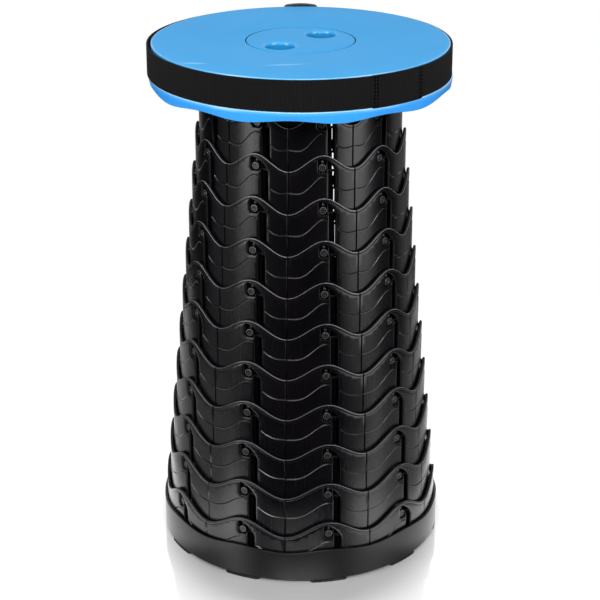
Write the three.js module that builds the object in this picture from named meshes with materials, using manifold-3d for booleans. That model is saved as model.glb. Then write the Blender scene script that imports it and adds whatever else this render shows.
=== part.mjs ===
import * as THREE from 'three'
import { mergeVertices } from 'three/addons/utils/BufferGeometryUtils.js'
import Module from 'manifold-3d'

// A round folding stool: twelve nested wall rings that slide up out of a base tray under a seat.
// Millimetres, +Z up, the floor at zero. Angles run from the front, -Y, towards +X.

const wasm = await Module()
wasm.setup()

// Driving dimensions of the nest of rings
const ringCount = 12
const waveCount = 10
const firstAngle = THREE.MathUtils.degToRad(-24.5)
const largestRadius = 122.1
const ringWall = 2.4
const ringGap = 1.15
const rimBand = 2.575
const shoulderBand = 3
const waveHeight = 13.6
const stageTravel = 35
const nestStep = 0.525

// Clearances and the overrun of every cut
const fixedGap = 0.3
const lugGap = 0.3
const overrun = 1

// Lugs on the rings and the hook slots that hold them
const lugRadius = 3.25
const lugSides = 6
const lugEngage = 1.1
const lugHeight = 5
const pocketSlack = 0.4
const pocketFloorGap = 1.2
const detentWidth = 1
const detentHeight = 2.5
const slotWidth = 7
const slotBridge = 1.8
const reliefBridge = 1.6
const hookHeadroom = 7.8
const hookCorner = 6.2

// Base tray
const padHeight = 2.4
const glueGap = 0.3
const trayFloor = 2.4
const trayWall = 2.4
const trayRimHeight = 30.2
const trayWave = 2.7
const trayEdge = 1
const trayRimEdge = 0.6
const trayRibHeight = 7
const trayRibWidth = 2
const trayRibInner = 18
const foldGap = 0.4

// Feet
const padWidth = 33
const padDepth = 9
const padInset = 6.5

// Seat shell
const plateThickness = 2.6
const seatEdge = 1.7
const edgeCutShare = 0.33
const seatWall = 2.5
const seatOverhang = 0.9
const skirtWall = 1.7
const skirtWaveShift = THREE.MathUtils.degToRad(3)
const skirtLap = 3.225
const skirtWave = 3
const ledgeWidth = 2.4
const ledgeEdge = 0.6
const spigotWall = 2.4
const shellRibWidth = 2
const shellRibHeight = 12
const gussetWidth = 2
const gussetGap = 0.4

// Centre cap, its finger holes and its screws
const capRadius = 45.9
const capThickness = 2.9
const capEdge = 0.5
const collarWall = 2.2
const flangeWidth = 6.4
const flangeThickness = 2.2
const flangeDrop = 0.8
const fingerRadius = 12
const fingerLip = 1.2
const fingerWall = 1.8
const fingerDepth = 9
const fingerMargin = 5.7
const fingerAngle = THREE.MathUtils.degToRad(-40.6)
const fingerCount = 2
const screwCount = 4
const screwAngle = THREE.MathUtils.degToRad(4)
const screwInset = 2.9
const bossRadius = 2.75
const shankRadius = 1.4
const headRadius = 2.6
const headHeight = 1.8
const headEdge = 0.6
const screwTipGap = 0.5

// Carry strap and its slider
const strapWidth = 25.6
const strapThickness = 1.5
const strapTopGap = 0.7
const strapSlack = 2
const slackAngle = THREE.MathUtils.degToRad(-95)
const slackSpread = THREE.MathUtils.degToRad(60)
const lapStart = THREE.MathUtils.degToRad(28)
const lapEnd = THREE.MathUtils.degToRad(50)
const lapThickness = 1.3
const lapStep = THREE.MathUtils.degToRad(0.6)
const sliderAngle = Math.PI
const sliderWidth = 31
const sliderThickness = 2.2
const sliderBar = 3
const sliderEndBar = 2
const sliderMiddleBar = 5
const sliderSlotMargin = 0.7
const sliderCorner = 2
const sliderGap = 0.2
const threadGap = 1.3
const threadClearShare = 1.3

// Facets. The first panel of each wave fits the hook, and plain panels share the rest of the wave
const hookMargin = 1.03
const plainPanels = 3
const hookRimShares = [0.365, 0.665]
const troughRimShare = 0.5
const fingerSides = 16
const screwSides = 6
const bossSides = 8

// Worked out from the sizes above
const wavePitch = (2 * Math.PI) / waveCount
const ringRadius = k => largestRadius - (k - 1) * (ringWall + ringGap)
const pocketWidth = 2 * (lugRadius + pocketSlack)
const hookWidth = pocketWidth + detentWidth + slotWidth

// The hook panel's half width is set on the smallest ring, where the hook also lies at its middle
const hookPanelHalf = Math.asin((hookWidth / 2 + hookMargin) / ringRadius(ringCount))
const panelDepth = radius => radius * Math.cos(hookPanelHalf)
const hookPanelMiddle = Math.atan((hookWidth - pocketWidth) / 2 / panelDepth(ringRadius(ringCount + 1)))

// The rim clears the hook's head at the crest, and the hook's shoulder where the wave has fallen
const stageRise = stageTravel + nestStep
const nextLug = lugHeight + stageRise
const hookHigh = nextLug + hookHeadroom
const shoulderAngle = Math.atan((hookWidth - pocketWidth / 2) / panelDepth(ringRadius(ringCount)))
const rimFall = waveHeight * (1 - Math.cos(waveCount * shoulderAngle)) / 2
const ringHeight = Math.max(hookHigh + rimBand, hookHigh - hookCorner + shoulderBand + rimFall)
const troughHeight = ringHeight - waveHeight

const trayUnder = padHeight + glueGap
const trayTop = trayUnder + trayFloor
const nestFoot = trayTop + fixedGap
const foldTravel = stageTravel * (ringCount - 1)
const topRingFoot = nestFoot + stageRise * (ringCount - 1)
const plateUnder = topRingFoot + ringHeight + fixedGap
const seatTop = plateUnder + plateThickness
const ledgeTop = seatTop - strapTopGap - strapWidth - fixedGap
const trayInner = largestRadius + fixedGap
const trayOuter = trayInner + trayWall
const seatOuterRadius = trayOuter + seatOverhang
const skirtInner = trayOuter + foldGap
const shoulderZ = trayRimHeight + foldTravel + trayWave
const skirtMiddle = shoulderZ - skirtLap
const capBore = capRadius + fixedGap
const collarOuter = capBore + collarWall
const flangeTop = seatTop - fingerDepth - flangeDrop
const flangeUnder = flangeTop - flangeThickness
const screwCircle = capRadius - screwInset
const fingerCircle = capRadius - fingerMargin - fingerWall - fingerRadius

const ringFoot = k => nestFoot + (k - 1) * stageRise
const crestAngle = n => firstAngle + n * wavePitch
const placeAt = (radius, angle) => [radius * Math.sin(angle), -radius * Math.cos(angle)]
const wave = (angle, shift, height) => height * (1 + Math.cos(waveCount * (angle - firstAngle - shift))) / 2

// Materials
const wallBlack = new THREE.MeshStandardMaterial({ color: 0x1b1b1d, roughness: 0.42, metalness: 0 })
const baseBlack = new THREE.MeshStandardMaterial({ color: 0x202122, roughness: 0.5, metalness: 0 })
const seatBlue = new THREE.MeshStandardMaterial({ color: 0x3d9cf0, roughness: 0.38, metalness: 0 })
const webbing = new THREE.MeshStandardMaterial({ color: 0x1c1a19, roughness: 0.9, metalness: 0 })
const sliderBlack = new THREE.MeshStandardMaterial({ color: 0x141414, roughness: 0.45, metalness: 0 })
const padRubber = new THREE.MeshStandardMaterial({ color: 0x2a2a2a, roughness: 0.95, metalness: 0 })
const screwSteel = new THREE.MeshStandardMaterial({ color: 0xa9abad, roughness: 0.35, metalness: 1 })

const stool = new THREE.Group()

// Solids and meshes

function solidOf(geometry) {
  const bare = geometry.clone()
  bare.deleteAttribute('normal')
  bare.deleteAttribute('uv')
  const merged = mergeVertices(bare)
  const index = merged.index.array
  const kept = []
  for (let i = 0; i < index.length; i += 3) {
    const [a, b, c] = [index[i], index[i + 1], index[i + 2]]
    if (a !== b && b !== c && c !== a) kept.push(a, b, c)
  }
  const vertProperties = new Float32Array(merged.attributes.position.array)
  const triVerts = new Uint32Array(kept)
  return new wasm.Manifold(new wasm.Mesh({ numProp: 3, vertProperties, triVerts }))
}

function addPiece(name, solid, material) {
  const { vertProperties, triVerts } = solid.getMesh()
  const shared = new THREE.BufferGeometry()
  shared.setAttribute('position', new THREE.BufferAttribute(new Float32Array(vertProperties), 3))
  shared.setIndex(new THREE.BufferAttribute(new Uint32Array(triVerts), 1))
  const geometry = shared.toNonIndexed()
  geometry.computeVertexNormals()
  const mesh = new THREE.Mesh(geometry, material)
  mesh.name = name
  stool.add(mesh)
}

// A body turned about the upright axis, whose section may change with the angle.
// The section's points go anticlockwise, with the radius to the right.
function turned(angles, sectionAt) {
  const sections = angles.map(sectionAt)
  const sides = angles.length
  const points = sections[0].length
  const positions = []
  sections.forEach((section, side) => {
    section.forEach(([r, z]) => positions.push(...placeAt(r, angles[side]), z))
  })
  const index = []
  for (let side = 0; side < sides; side++) {
    const next = (side + 1) % sides
    for (let i = 0; i < points; i++) {
      const up = (i + 1) % points
      const [a, b] = [side * points + i, next * points + i]
      const [c, d] = [next * points + up, side * points + up]
      index.push(a, b, c, a, c, d)
    }
  }
  const geometry = new THREE.BufferGeometry()
  geometry.setAttribute('position', new THREE.Float32BufferAttribute(positions, 3))
  geometry.setIndex(index)
  return solidOf(geometry)
}

// A round bar or hole on an upright axis, from its profile of radius and height
function roundBar(profile, sides, x, y) {
  const points = profile.map(([r, z]) => new THREE.Vector2(r, z))
  const geometry = new THREE.LatheGeometry(points, sides)
  geometry.rotateX(Math.PI / 2)
  geometry.translate(x, y, 0)
  return solidOf(geometry)
}

// The facets: flat panels between corners that line up from ring to ring

const panelAngles = shares => {
  const angles = []
  for (let n = 0; n < waveCount; n++) shares.forEach(share => angles.push(crestAngle(n) + share * wavePitch))
  return angles
}

const hookPanelShares = [-hookPanelHalf, hookPanelHalf].map(a => (hookPanelMiddle + a) / wavePitch)
const hookWidthShare = hookPanelShares[1] - hookPanelShares[0]
const plainWidthShare = (1 - hookWidthShare) / plainPanels
const plainShares = Array.from({ length: plainPanels }, (_, i) => hookPanelShares[1] + i * plainWidthShare)
const panelShares = [hookPanelShares[0], ...plainShares]
const rimShares = [
  ...panelShares, ...hookRimShares.map(share => hookPanelShares[0] + share * hookWidthShare),
  plainShares[1] + troughRimShare * plainWidthShare,
].sort((a, b) => a - b)
const cornerAngles = panelAngles(panelShares)

const lugPlace = radius => -panelDepth(radius) * Math.tan(hookPanelMiddle)
const lugReach = k => (k === 1 ? fixedGap : ringGap) * Math.cos(hookPanelHalf) + lugEngage

// A flat outline drawn on the hook panel of one wave, across by up, run outwards between two depths
function onPanel(outline, n, fromDepth, toDepth, level) {
  const shape = new THREE.Shape(outline.map(([x, y]) => new THREE.Vector2(x, y)))
  const geometry = new THREE.ExtrudeGeometry(shape, { depth: toDepth - fromDepth, bevelEnabled: false })
  geometry.rotateX(Math.PI / 2)
  geometry.translate(0, -fromDepth, level)
  geometry.rotateZ(crestAngle(n) + hookPanelMiddle)
  return solidOf(geometry)
}

const circleOutline = (x, y, radius, sides) =>
  Array.from({ length: sides }, (_, i) => {
    const a = ((i + 0.5) * 2 * Math.PI) / sides
    return [x - radius * Math.sin(a), y + radius * Math.cos(a)]
  })

const rectangle = (left, right, low, high) => [[left, low], [right, low], [right, high], [left, high]]

// One wall ring: a wavy rim, and in each wave a hook slot, the relief below its pocket, and a lug.
// The slot is a J upside down. The next lug rises in its long leg and turns into the pocket on the left.

function hookOutline(x) {
  const [left, right] = [x - pocketWidth / 2, x + pocketWidth / 2]
  const [slotLeft, slotRight] = [right + detentWidth, right + detentWidth + slotWidth]
  const floor = nextLug - lugRadius - pocketFloorGap
  return [
    [left, floor], [right, floor], [slotLeft, floor + detentHeight], [slotLeft, slotBridge],
    [slotRight, slotBridge], [slotRight, hookHigh - hookCorner], [slotRight - hookCorner, hookHigh],
    [left, hookHigh],
  ]
}

const hookPlace = k => lugPlace(ringRadius(k + 1))

function wallRing(k) {
  const [outer, inner, foot] = [ringRadius(k), ringRadius(k) - ringWall, ringFoot(k)]
  const [outerFace, innerFace] = [panelDepth(outer), panelDepth(inner)]
  const skinFace = innerFace + lugEngage + lugGap
  const tip = outerFace + lugReach(k)
  const positions = []
  const index = []

  const addPoint = ([x, y], z) => positions.push(x, y, z) / 3 - 1
  const addWall = (from, to) => from.forEach((p, i) => {
    const [q, pTo, qTo] = [from[i + 1], to[i], to[i + 1]]
    if (q !== undefined) index.push(p, q, qTo, p, qTo, pTo)
  })
  // Fills a face whose points are {id, at}, with at given across and up, as seen from outside
  const addFace = (loop, holes, outwards) => {
    const all = [loop, ...holes].flat()
    const flat = points => points.map(({ at }) => new THREE.Vector2(...at))
    for (const face of THREE.ShapeUtils.triangulateShape(flat(loop), holes.map(flat))) {
      const [a, b, c] = face.map(i => all[i])
      const turn = (b.at[0] - a.at[0]) * (c.at[1] - a.at[1]) - (b.at[1] - a.at[1]) * (c.at[0] - a.at[0])
      index.push(...((turn > 0) === outwards ? [a.id, b.id, c.id] : [a.id, c.id, b.id]))
    }
  }

  // The columns of points at the corners and along the rim, outside and inside
  const panels = panelShares.map((start, i) => [start, panelShares[i + 1] ?? 1 + panelShares[0]])
  const walls = []
  for (let n = 0; n < waveCount; n++) {
    for (const [start, end] of panels) {
      const [half, middle] = [((end - start) / 2) * wavePitch, ((start + end) / 2) * wavePitch]
      const column = (share, up) => [outer, inner].map(radius => {
        const turn = share * wavePitch - middle
        const depth = radius * Math.cos(half)
        const id = addPoint(placeAt(depth / Math.cos(turn), crestAngle(n) + share * wavePitch), foot + up)
        return { id, at: [depth * Math.tan(turn), up] }
      })
      const rim = rimShares.filter(share => share >= start && share < end)
        .map(share => column(share, troughHeight + wave(crestAngle(0) + share * wavePitch, 0, waveHeight)))
      walls.push({ n, low: column(start, 0), rim, hooked: start === panelShares[0] })
    }
  }

  walls.forEach(({ n, low, rim, hooked }, i) => {
    const next = walls[(i + 1) % walls.length]
    const far = side => ({ id: next.low[side].id, at: [-low[side].at[0], 0] })
    const farRim = side => ({ id: next.rim[0][side].id, at: [-low[side].at[0], next.rim[0][side].at[1]] })
    const outline = side => [low[side], far(side), farRim(side), ...rim.map(pair => pair[side]).reverse()]
    const [outerLoop, innerLoop] = [outline(0), outline(1)]
    const ids = points => points.map(({ id }) => id)
    addWall(ids(innerLoop.slice(0, 2)), ids(outerLoop.slice(0, 2)))
    addWall(ids(innerLoop.slice(2)), ids(outerLoop.slice(2)))
    if (!hooked) {
      addFace(outerLoop, [], true)
      addFace(innerLoop, [], false)
      return
    }

    const onFace = (outline2d, depth) => outline2d.map(([x, y]) => {
      const radius = Math.hypot(x, depth)
      const angle = crestAngle(n) + hookPanelMiddle + Math.atan2(x, depth)
      return { id: addPoint(placeAt(radius, angle), foot + y), at: [x, y] }
    })
    const hook = hookOutline(hookPlace(k))
    const relief = [[hook[0][0], reliefBridge], [hook[1][0], reliefBridge]]
    const lug = circleOutline(lugPlace(outer), lugHeight, lugRadius, lugSides)
    const hookOut = onFace(hook, outerFace)
    const skin = [hook[0], hook[1], ...relief.toReversed()]
    const [floorLeft, floorRight, lowRight, lowLeft] = onFace(skin, skinFace)
    const hookIn = onFace([...relief, ...hook.slice(1)], innerFace)
    const [lugFoot, lugTip] = [onFace(lug, outerFace), onFace(lug, tip)]
    addFace(outerLoop, [hookOut, lugFoot], true)
    addFace(innerLoop, [hookIn], false)
    addFace([lowLeft, lowRight, floorRight, floorLeft], [], false)
    addWall(ids([...lugFoot, lugFoot[0]]), ids([...lugTip, lugTip[0]]))
    addFace(lugTip, [], true)

    // Hook walls: the legs and the head go right through, the pocket floor stops at the relief
    const [outIds, inIds] = [ids(hookOut), ids(hookIn)]
    addWall(outIds.slice(2), inIds.slice(3))
    addWall(outIds.slice(0, 2), ids([floorLeft, floorRight]))
    addWall(ids([lowLeft, lowRight, floorRight]), inIds.slice(0, 3))
    index.push(outIds[1], outIds[2], floorRight.id, floorRight.id, outIds[2], inIds[3])
    index.push(floorRight.id, inIds[3], inIds[2])
    index.push(outIds[7], outIds[0], floorLeft.id, outIds[7], floorLeft.id, inIds[8])
    index.push(floorLeft.id, lowLeft.id, inIds[0], floorLeft.id, inIds[0], inIds[8])
  })

  const geometry = new THREE.BufferGeometry()
  geometry.setAttribute('position', new THREE.Float32BufferAttribute(positions, 3))
  geometry.setIndex(index)
  return solidOf(geometry)
}

for (let k = 1; k <= ringCount; k++) addPiece(`wall_ring_${k}`, wallRing(k), wallBlack)

// The same lugs on a piece that carries them by a union
function lugSolids(radius, foot, reach) {
  const face = panelDepth(radius)
  const outline = circleOutline(lugPlace(radius), lugHeight, lugRadius, lugSides)
  const waves = Array.from({ length: waveCount }, (_, n) => n)
  return waves.map(n => onPanel(outline, n, face - lugEngage, face + reach, foot))
}

// Base tray: a floor with ribs inside the nest, and a low wall that the first ring's lugs snap into

function baseTray() {
  let tray = turned(cornerAngles, angle => {
    const rim = trayRimHeight + wave(angle, 0, trayWave) - trayWave / 2
    return [
      [0, trayUnder], [trayOuter - trayEdge, trayUnder], [trayOuter, trayUnder + trayEdge],
      [trayOuter, rim - trayRimEdge], [trayOuter - trayRimEdge, rim], [trayInner, rim],
      [trayInner, trayTop], [0, trayTop],
    ]
  })
  const ribOuter = ringRadius(ringCount) - ringWall - ringGap
  for (let n = 0; n < waveCount; n++) {
    const face = panelDepth(trayInner)
    const x = lugPlace(largestRadius)
    const half = lugRadius + pocketSlack
    const pocket = rectangle(x - half, x + half, lugHeight - half, lugHeight + half)
    tray = tray.subtract(onPanel(pocket, n, face - overrun, face + lugEngage + lugGap, nestFoot))
    const rib = new THREE.BoxGeometry(trayRibWidth, ribOuter - trayRibInner, trayRibHeight + trayFloor / 2)
    rib.translate(0, -(ribOuter + trayRibInner) / 2, trayTop + (trayRibHeight - trayFloor / 2) / 2)
    rib.rotateZ(crestAngle(n))
    tray = tray.add(solidOf(rib))
  }
  return tray
}

addPiece('base_tray', baseTray(), baseBlack)

// Ten anti-slip feet under the tray, one below each crest

function footPad(n) {
  const outer = trayOuter - padInset
  const inner = outer - padDepth
  const half = padWidth / 2 / outer
  const turns = [-half, 0, half]
  const out = turns.map(a => placeAt(outer, a))
  const back = turns.map(a => placeAt(inner, a)).reverse()
  const shape = new THREE.Shape([...out, ...back].map(([x, y]) => new THREE.Vector2(x, y)))
  const pad = new THREE.ExtrudeGeometry(shape, { depth: padHeight, bevelEnabled: false })
  pad.rotateZ(crestAngle(n))
  return solidOf(pad)
}

for (let n = 0; n < waveCount; n++) addPiece(`foot_pad_${n + 1}`, footPad(n), padRubber)

// Seat shell: plate, strap groove, ledge and wavy skirt, with a spigot whose lugs sit in the top ring

function seatShell() {
  const outer = seatOuterRadius
  const ledgeOuter = outer + ledgeWidth
  const inner = outer - seatWall
  const edgeCut = seatEdge * edgeCutShare
  let shell = turned(cornerAngles, angle => {
    const skirtFoot = skirtMiddle - wave(angle, skirtWaveShift, skirtWave) + skirtWave / 2
    return [
      [skirtInner, skirtFoot], [skirtInner + skirtWall, skirtFoot],
      [ledgeOuter, ledgeTop - ledgeEdge], [ledgeOuter - ledgeEdge, ledgeTop], [outer, ledgeTop],
      [outer, seatTop - seatEdge], [outer - edgeCut, seatTop - edgeCut], [outer - seatEdge, seatTop],
      [capBore, seatTop], [capBore, flangeTop], [capBore - flangeWidth, flangeTop],
      [capBore - flangeWidth, flangeUnder], [collarOuter, flangeUnder], [collarOuter, plateUnder],
      [inner, plateUnder], [inner, shoulderZ], [skirtInner, shoulderZ],
    ]
  })
  const spigotOuter = ringRadius(ringCount + 1)
  const spigotInner = spigotOuter - spigotWall
  const spigotFoot = ringFoot(ringCount + 1)
  const spigotTop = plateUnder + plateThickness / 2
  shell = shell.add(turned(cornerAngles, () => [
    [spigotInner, spigotFoot], [spigotOuter, spigotFoot], [spigotOuter, spigotTop], [spigotInner, spigotTop],
  ]))
  lugSolids(spigotOuter, spigotFoot, lugReach(ringCount + 1)).forEach(lug => { shell = shell.add(lug) })
  const reach = ringRadius(ringCount) + gussetWidth
  const crestLevel = ringFoot(1) + ringHeight + foldTravel + gussetGap
  for (let n = 0; n < waveCount; n++) {
    const ribInner = collarOuter - collarWall / 2
    const ribOuter = spigotInner + spigotWall / 2
    const rib = new THREE.BoxGeometry(shellRibWidth, ribOuter - ribInner, shellRibHeight + plateThickness / 2)
    rib.translate(0, -(ribOuter + ribInner) / 2, plateUnder + (plateThickness / 2 - shellRibHeight) / 2)
    rib.rotateZ(crestAngle(n))
    shell = shell.add(solidOf(rib))
    const wedge = new THREE.Shape([[reach, plateUnder], [inner + seatWall / 2, crestLevel],
      [inner + seatWall / 2, plateUnder + plateThickness / 2], [reach, plateUnder + plateThickness / 2]]
      .map(([x, y]) => new THREE.Vector2(x, y)))
    const gusset = new THREE.ExtrudeGeometry(wedge, { depth: gussetWidth, bevelEnabled: false })
    gusset.translate(0, 0, -gussetWidth / 2)
    gusset.rotateX(Math.PI / 2)
    gusset.rotateZ(crestAngle(n) - Math.PI / 2)
    shell = shell.add(solidOf(gusset))
  }
  for (let n = 0; n < screwCount; n++) {
    shell = shell.subtract(screwHole(n, flangeUnder - overrun, flangeTop + overrun))
  }
  return shell
}

const screwPlace = n => placeAt(screwCircle, screwAngle + (n * 2 * Math.PI) / screwCount)
const fingerPlace = n => placeAt(fingerCircle, fingerAngle + (n * 2 * Math.PI) / fingerCount)

function screwHole(n, low, high) {
  const radius = shankRadius + fixedGap
  return roundBar([[0, low], [radius, low], [radius, high], [0, high]], bossSides, ...screwPlace(n))
}

addPiece('seat_shell', seatShell(), seatBlue)

// Centre cap: a disc with two finger holes and four screw bosses

function centreCap() {
  const under = seatTop - capThickness
  const bossFoot = flangeTop + fixedGap
  let cap = turned(cornerAngles, () => [
    [0, under], [capRadius, under], [capRadius, seatTop - capEdge], [capRadius - capEdge, seatTop],
    [0, seatTop],
  ])
  for (let n = 0; n < fingerCount; n++) {
    const wall = fingerRadius + fingerWall
    const middle = seatTop - capThickness / 2
    const low = seatTop - fingerDepth
    cap = cap.add(roundBar([[0, low], [wall, low], [wall, middle], [0, middle]], fingerSides, ...fingerPlace(n)))
    cap = cap.subtract(roundBar([
      [0, low - overrun], [fingerRadius, low - overrun],
      [fingerRadius, seatTop - fingerLip], [fingerRadius + fingerLip, seatTop],
      [fingerRadius + fingerLip, seatTop + overrun], [0, seatTop + overrun],
    ], fingerSides, ...fingerPlace(n)))
  }
  for (let n = 0; n < screwCount; n++) {
    const middle = under + capThickness / 2
    cap = cap.add(roundBar([[0, bossFoot], [bossRadius, bossFoot], [bossRadius, middle], [0, middle]],
      bossSides, ...screwPlace(n)))
    cap = cap.subtract(screwHole(n, bossFoot - overrun, under))
  }
  return cap
}

addPiece('centre_cap', centreCap(), seatBlue)

function capScrew(n) {
  const headTop = flangeUnder - fixedGap
  const tip = seatTop - capThickness - screwTipGap
  return roundBar([
    [0, headTop - headHeight], [headRadius - headEdge, headTop - headHeight],
    [headRadius, headTop - headHeight + headEdge], [headRadius, headTop], [shankRadius, headTop],
    [shankRadius, tip], [0, tip],
  ], screwSides, ...screwPlace(n))
}

for (let n = 0; n < screwCount; n++) addPiece(`cap_screw_${n + 1}`, capScrew(n), screwSteel)

// Carry strap: webbing round the seat, lapped and sewn at the front, threaded through a slider behind

const strapInner = seatOuterRadius + fixedGap
const strapLow = ledgeTop + fixedGap
const sliderInner = seatOuterRadius + ledgeWidth + sliderGap
const threadOut = sliderInner + sliderThickness + fixedGap - strapInner
const threadAngles = [sliderMiddleBar / 2 + threadGap, sliderWidth / 2 - sliderBar - threadGap]
  .map(x => Math.atan(x / sliderInner))

function carryStrap() {
  const nearSlider = a => Math.abs(a - sliderAngle) < threadAngles[1] * threadClearShare
  const special = [lapStart, lapStart + lapStep, lapEnd - lapStep, lapEnd]
  const [near, far] = threadAngles
  const thread = [-far, -near, near, far].map(a => sliderAngle + a)
  const angles = [...cornerAngles.filter(a => !nearSlider(a)), ...special, ...thread].sort((a, b) => a - b)
  const strap = angle => {
    const fromSlack = Math.atan2(Math.sin(angle - slackAngle), Math.cos(angle - slackAngle))
    const slack = Math.abs(fromSlack) < slackSpread
      ? strapSlack * Math.cos((fromSlack / slackSpread) * (Math.PI / 2)) ** 2 : 0
    const threaded = Math.abs(angle - sliderAngle) < threadAngles[0] + lapStep ? threadOut : 0
    const lapped = angle > lapStart && angle < lapEnd ? lapThickness : 0
    const inner = strapInner + slack + threaded
    const outer = inner + strapThickness + lapped
    return rectangle(inner, outer, strapLow, strapLow + strapWidth)
  }
  return turned(angles, strap)
}

addPiece('carry_strap', carryStrap(), webbing)

// A flat outline facing outwards at the back, across by up, from one radius to another
function atBack(outline, fromRadius, toRadius) {
  const shape = new THREE.Shape(outline.map(([x, y]) => new THREE.Vector2(x, y)))
  const geometry = new THREE.ExtrudeGeometry(shape, { depth: toRadius - fromRadius, bevelEnabled: false })
  geometry.rotateX(Math.PI / 2)
  geometry.translate(0, -fromRadius, 0)
  geometry.rotateZ(sliderAngle)
  return solidOf(geometry)
}

function strapSlider() {
  const [slotLow, slotHigh] = [strapLow - sliderSlotMargin, strapLow + strapWidth + sliderSlotMargin]
  const [low, top] = [slotLow - sliderEndBar, slotHigh + sliderEndBar]
  const [w, c] = [sliderWidth / 2, sliderCorner]
  const plate = [
    [-w, low + c], [-w + c, low], [w - c, low], [w, low + c],
    [w, top - c], [w - c, top], [-w + c, top], [-w, top - c],
  ]
  const sliderOuter = sliderInner + sliderThickness
  const [near, far] = [sliderMiddleBar / 2, w - sliderBar]
  let slider = atBack(plate, sliderInner, sliderOuter)
  for (const [left, right] of [[-far, -near], [near, far]]) {
    const slot = rectangle(left, right, slotLow, slotHigh)
    slider = slider.subtract(atBack(slot, sliderInner - overrun, sliderOuter + overrun))
  }
  return slider
}

addPiece('strap_slider', strapSlider(), sliderBlack)

export default stool
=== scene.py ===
import math

import bmesh
import bpy
import numpy as np
from mathutils import Matrix, Vector
from mathutils.geometry import delaunay_2d_cdt


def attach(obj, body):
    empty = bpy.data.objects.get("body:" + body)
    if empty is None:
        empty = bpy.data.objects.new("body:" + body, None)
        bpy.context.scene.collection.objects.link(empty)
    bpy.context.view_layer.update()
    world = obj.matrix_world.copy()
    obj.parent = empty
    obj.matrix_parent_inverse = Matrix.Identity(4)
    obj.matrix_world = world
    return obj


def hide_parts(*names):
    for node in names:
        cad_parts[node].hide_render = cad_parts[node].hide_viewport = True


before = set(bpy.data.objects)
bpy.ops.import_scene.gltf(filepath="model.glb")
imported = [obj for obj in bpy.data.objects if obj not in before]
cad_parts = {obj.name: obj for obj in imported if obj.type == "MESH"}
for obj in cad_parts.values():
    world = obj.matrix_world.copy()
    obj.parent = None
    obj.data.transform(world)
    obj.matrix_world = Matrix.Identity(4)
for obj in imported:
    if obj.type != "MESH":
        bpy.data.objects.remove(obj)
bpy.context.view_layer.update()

# Sizes are millimetres, as in the model's source, and newMesh turns them into metres
mm = 0.001


# Angles run from the front, -Y, towards +X, as the model's do
def placeAt(radius, angle):
    return radius * math.sin(angle), -radius * math.cos(angle)


nest = {
    "rings": 12, "waves": 10, "firstAngle": math.radians(-24.5),
    "largestRadius": 122.1, "wall": 2.4, "gap": 1.15,
    "trough": 37.3, "wave": 13.6, "nestFoot": 5.4, "rise": 35.525,
}


def ringRadius(k):
    return nest["largestRadius"] - (k - 1) * (nest["wall"] + nest["gap"])


def ringFoot(k):
    return nest["nestFoot"] + (k - 1) * nest["rise"]


def rimHeight(turns):
    # Above the ring's foot, a whole wave being one turn in radians
    return nest["trough"] + nest["wave"] * (1 + np.cos(turns)) / 2


def waveAt(angle, height, shift=0.0):
    # Between half the height below and half above
    turns = nest["waves"] * (angle - nest["firstAngle"] - shift)
    return height * (1 + np.cos(turns)) / 2 - height / 2


# Meshes

def smoothMesh(mesh, sharpAt):
    mesh.shade_smooth()
    mesh.set_sharp_from_angle(angle=math.radians(sharpAt))


def newMesh(name, points, faces, sharpAt=35.0):
    mesh = bpy.data.meshes.new(name)
    places = [tuple(float(c) * mm for c in p) for p in points]
    mesh.from_pydata(places, [], [tuple(int(i) for i in f) for f in faces])
    mesh.validate()
    smoothMesh(mesh, sharpAt)
    return linked(name, mesh)


def linked(name, data):
    obj = bpy.data.objects.new(name, data)
    bpy.context.scene.collection.objects.link(obj)
    return obj


def joinObjects(name, objects):
    target = objects[0]
    with bpy.context.temp_override(active_object=target, object=target, selected_objects=objects,
                                   selected_editable_objects=objects):
        bpy.ops.object.join()
    target.name = name
    target.data.name = name
    return target


def editMesh(obj, *steps):
    # Each step is a function that changes the bmesh
    work = bmesh.new()
    work.from_mesh(obj.data)
    for step in steps:
        step(work)
    work.to_mesh(obj.data)
    work.free()


def weldBy(distance):
    return lambda work: bmesh.ops.remove_doubles(work, verts=work.verts, dist=distance)


def faceOutwards(work):
    bmesh.ops.recalc_face_normals(work, faces=work.faces)


def vertexPlaces(obj):
    # In mm
    flat = np.empty(len(obj.data.vertices) * 3)
    obj.data.vertices.foreach_get("co", flat)
    return flat.reshape(-1, 3) / mm


def setAttribute(obj, name, values):
    # One value for each point, or the same for all
    layer = obj.data.attributes.get(name) or obj.data.attributes.new(name, "FLOAT", "POINT")
    spread = np.broadcast_to(np.asarray(values, dtype=np.float32), len(obj.data.vertices))
    layer.data.foreach_set("value", np.ascontiguousarray(spread))


def meshFrom(name, work):
    # Ends a bmesh whose points are in mm
    points = [tuple(v.co) for v in work.verts]
    faces = [[v.index for v in f.verts] for f in work.faces]
    work.free()
    return newMesh(name, points, faces)


def boxPiece(name, half, ySpan, zSpan, rounding):
    # A box with rounded edges, centred in x
    low, high = zip((-half, half), ySpan, zSpan)
    box = bmesh.new()
    bmesh.ops.create_cube(box, size=1)
    for v in box.verts:
        v.co = Vector([(l + h) / 2 + c * (h - l) for l, h, c in zip(low, high, v.co)])
    bmesh.ops.bevel(box, geom=box.edges[:], offset=rounding, segments=2, profile=0.5, affect="EDGES")
    return meshFrom(name, box)


def softBump(name, centre, size):
    # A small rounded knob
    ball = bmesh.new()
    bmesh.ops.create_uvsphere(ball, u_segments=12, v_segments=8, radius=1)
    for v in ball.verts:
        v.co = Vector([c + s * p for c, s, p in zip(centre, size, v.co)])
    return meshFrom(name, ball)


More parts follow.
